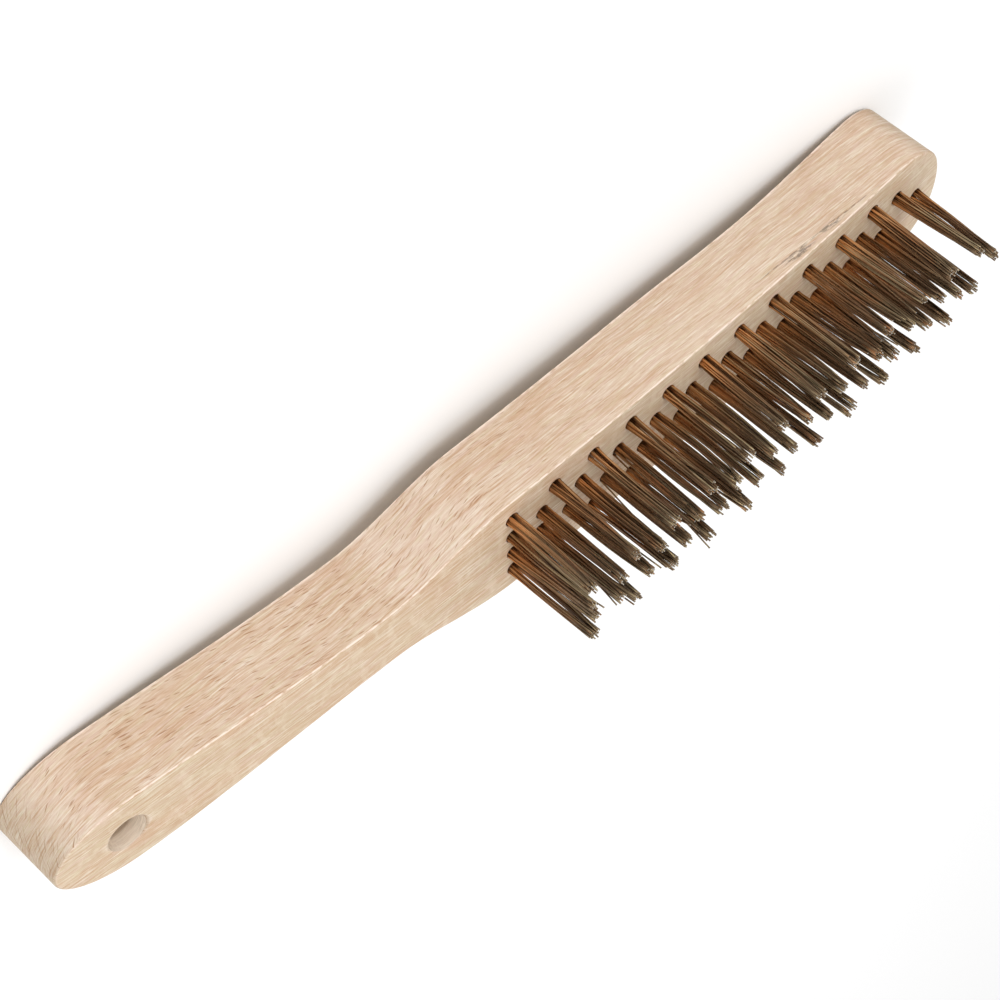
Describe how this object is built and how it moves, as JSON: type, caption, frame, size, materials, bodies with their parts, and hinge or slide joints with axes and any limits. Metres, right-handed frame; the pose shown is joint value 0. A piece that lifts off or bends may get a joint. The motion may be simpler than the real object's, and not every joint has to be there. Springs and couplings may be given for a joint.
{
  "type": "wire brush",
  "caption": "Hand scratch brush: an arched, waisted hardwood handle block with staple-set tufts of steel wire in its head and a hanging hole through the handle end.",
  "frame": {"origin": "bottom centre of the bounding box, with the brush lying on its back and the wires pointing up", "axes": "+X along the handle from the nose towards the handle end, +Z out of the wired face, +Y across the head"},
  "size_m": [0.29, 0.0334, 0.0542],
  "materials": {
    "beech": "bare sanded beech, pale tan with short brown ray flecks",
    "steel_wire": "dull brown steel wire with bright cut ends"
  },
  "bodies": {
    "root": {"beech_block": "beech", "tuft_row1_01": "steel_wire", "tuft_row1_02": "steel_wire", "tuft_row1_03": "steel_wire", "tuft_row1_04": "steel_wire", "tuft_row1_05": "steel_wire", "tuft_row1_06": "steel_wire", "tuft_row1_07": "steel_wire", "tuft_row1_08": "steel_wire", "tuft_row1_09": "steel_wire", "tuft_row1_10": "steel_wire", "tuft_row1_11": "steel_wire", "tuft_row2_01": "steel_wire", "tuft_row2_02": "steel_wire", "tuft_row2_03": "steel_wire", "tuft_row2_04": "steel_wire", "tuft_row2_05": "steel_wire", "tuft_row2_06": "steel_wire", "tuft_row2_07": "steel_wire", "tuft_row2_08": "steel_wire", "tuft_row2_09": "steel_wire", "tuft_row2_10": "steel_wire", "tuft_row2_11": "steel_wire", "tuft_row3_01": "steel_wire", "tuft_row3_02": "steel_wire", "tuft_row3_03": "steel_wire", "tuft_row3_04": "steel_wire", "tuft_row3_05": "steel_wire", "tuft_row3_06": "steel_wire", "tuft_row3_07": "steel_wire", "tuft_row3_08": "steel_wire", "tuft_row3_09": "steel_wire", "tuft_row3_10": "steel_wire", "tuft_row3_11": "steel_wire", "tuft_row3_12": "steel_wire", "tuft_row4_01": "steel_wire", "tuft_row4_02": "steel_wire", "tuft_row4_03": "steel_wire", "tuft_row4_04": "steel_wire", "tuft_row4_05": "steel_wire", "tuft_row4_06": "steel_wire", "tuft_row4_07": "steel_wire", "tuft_row4_08": "steel_wire", "tuft_row4_09": "steel_wire", "tuft_row4_10": "steel_wire", "tuft_row4_11": "steel_wire", "tuft_nose_near": "steel_wire", "tuft_nose_tip": "steel_wire", "tuft_nose_far": "steel_wire"}
  },
  "joints": []
}
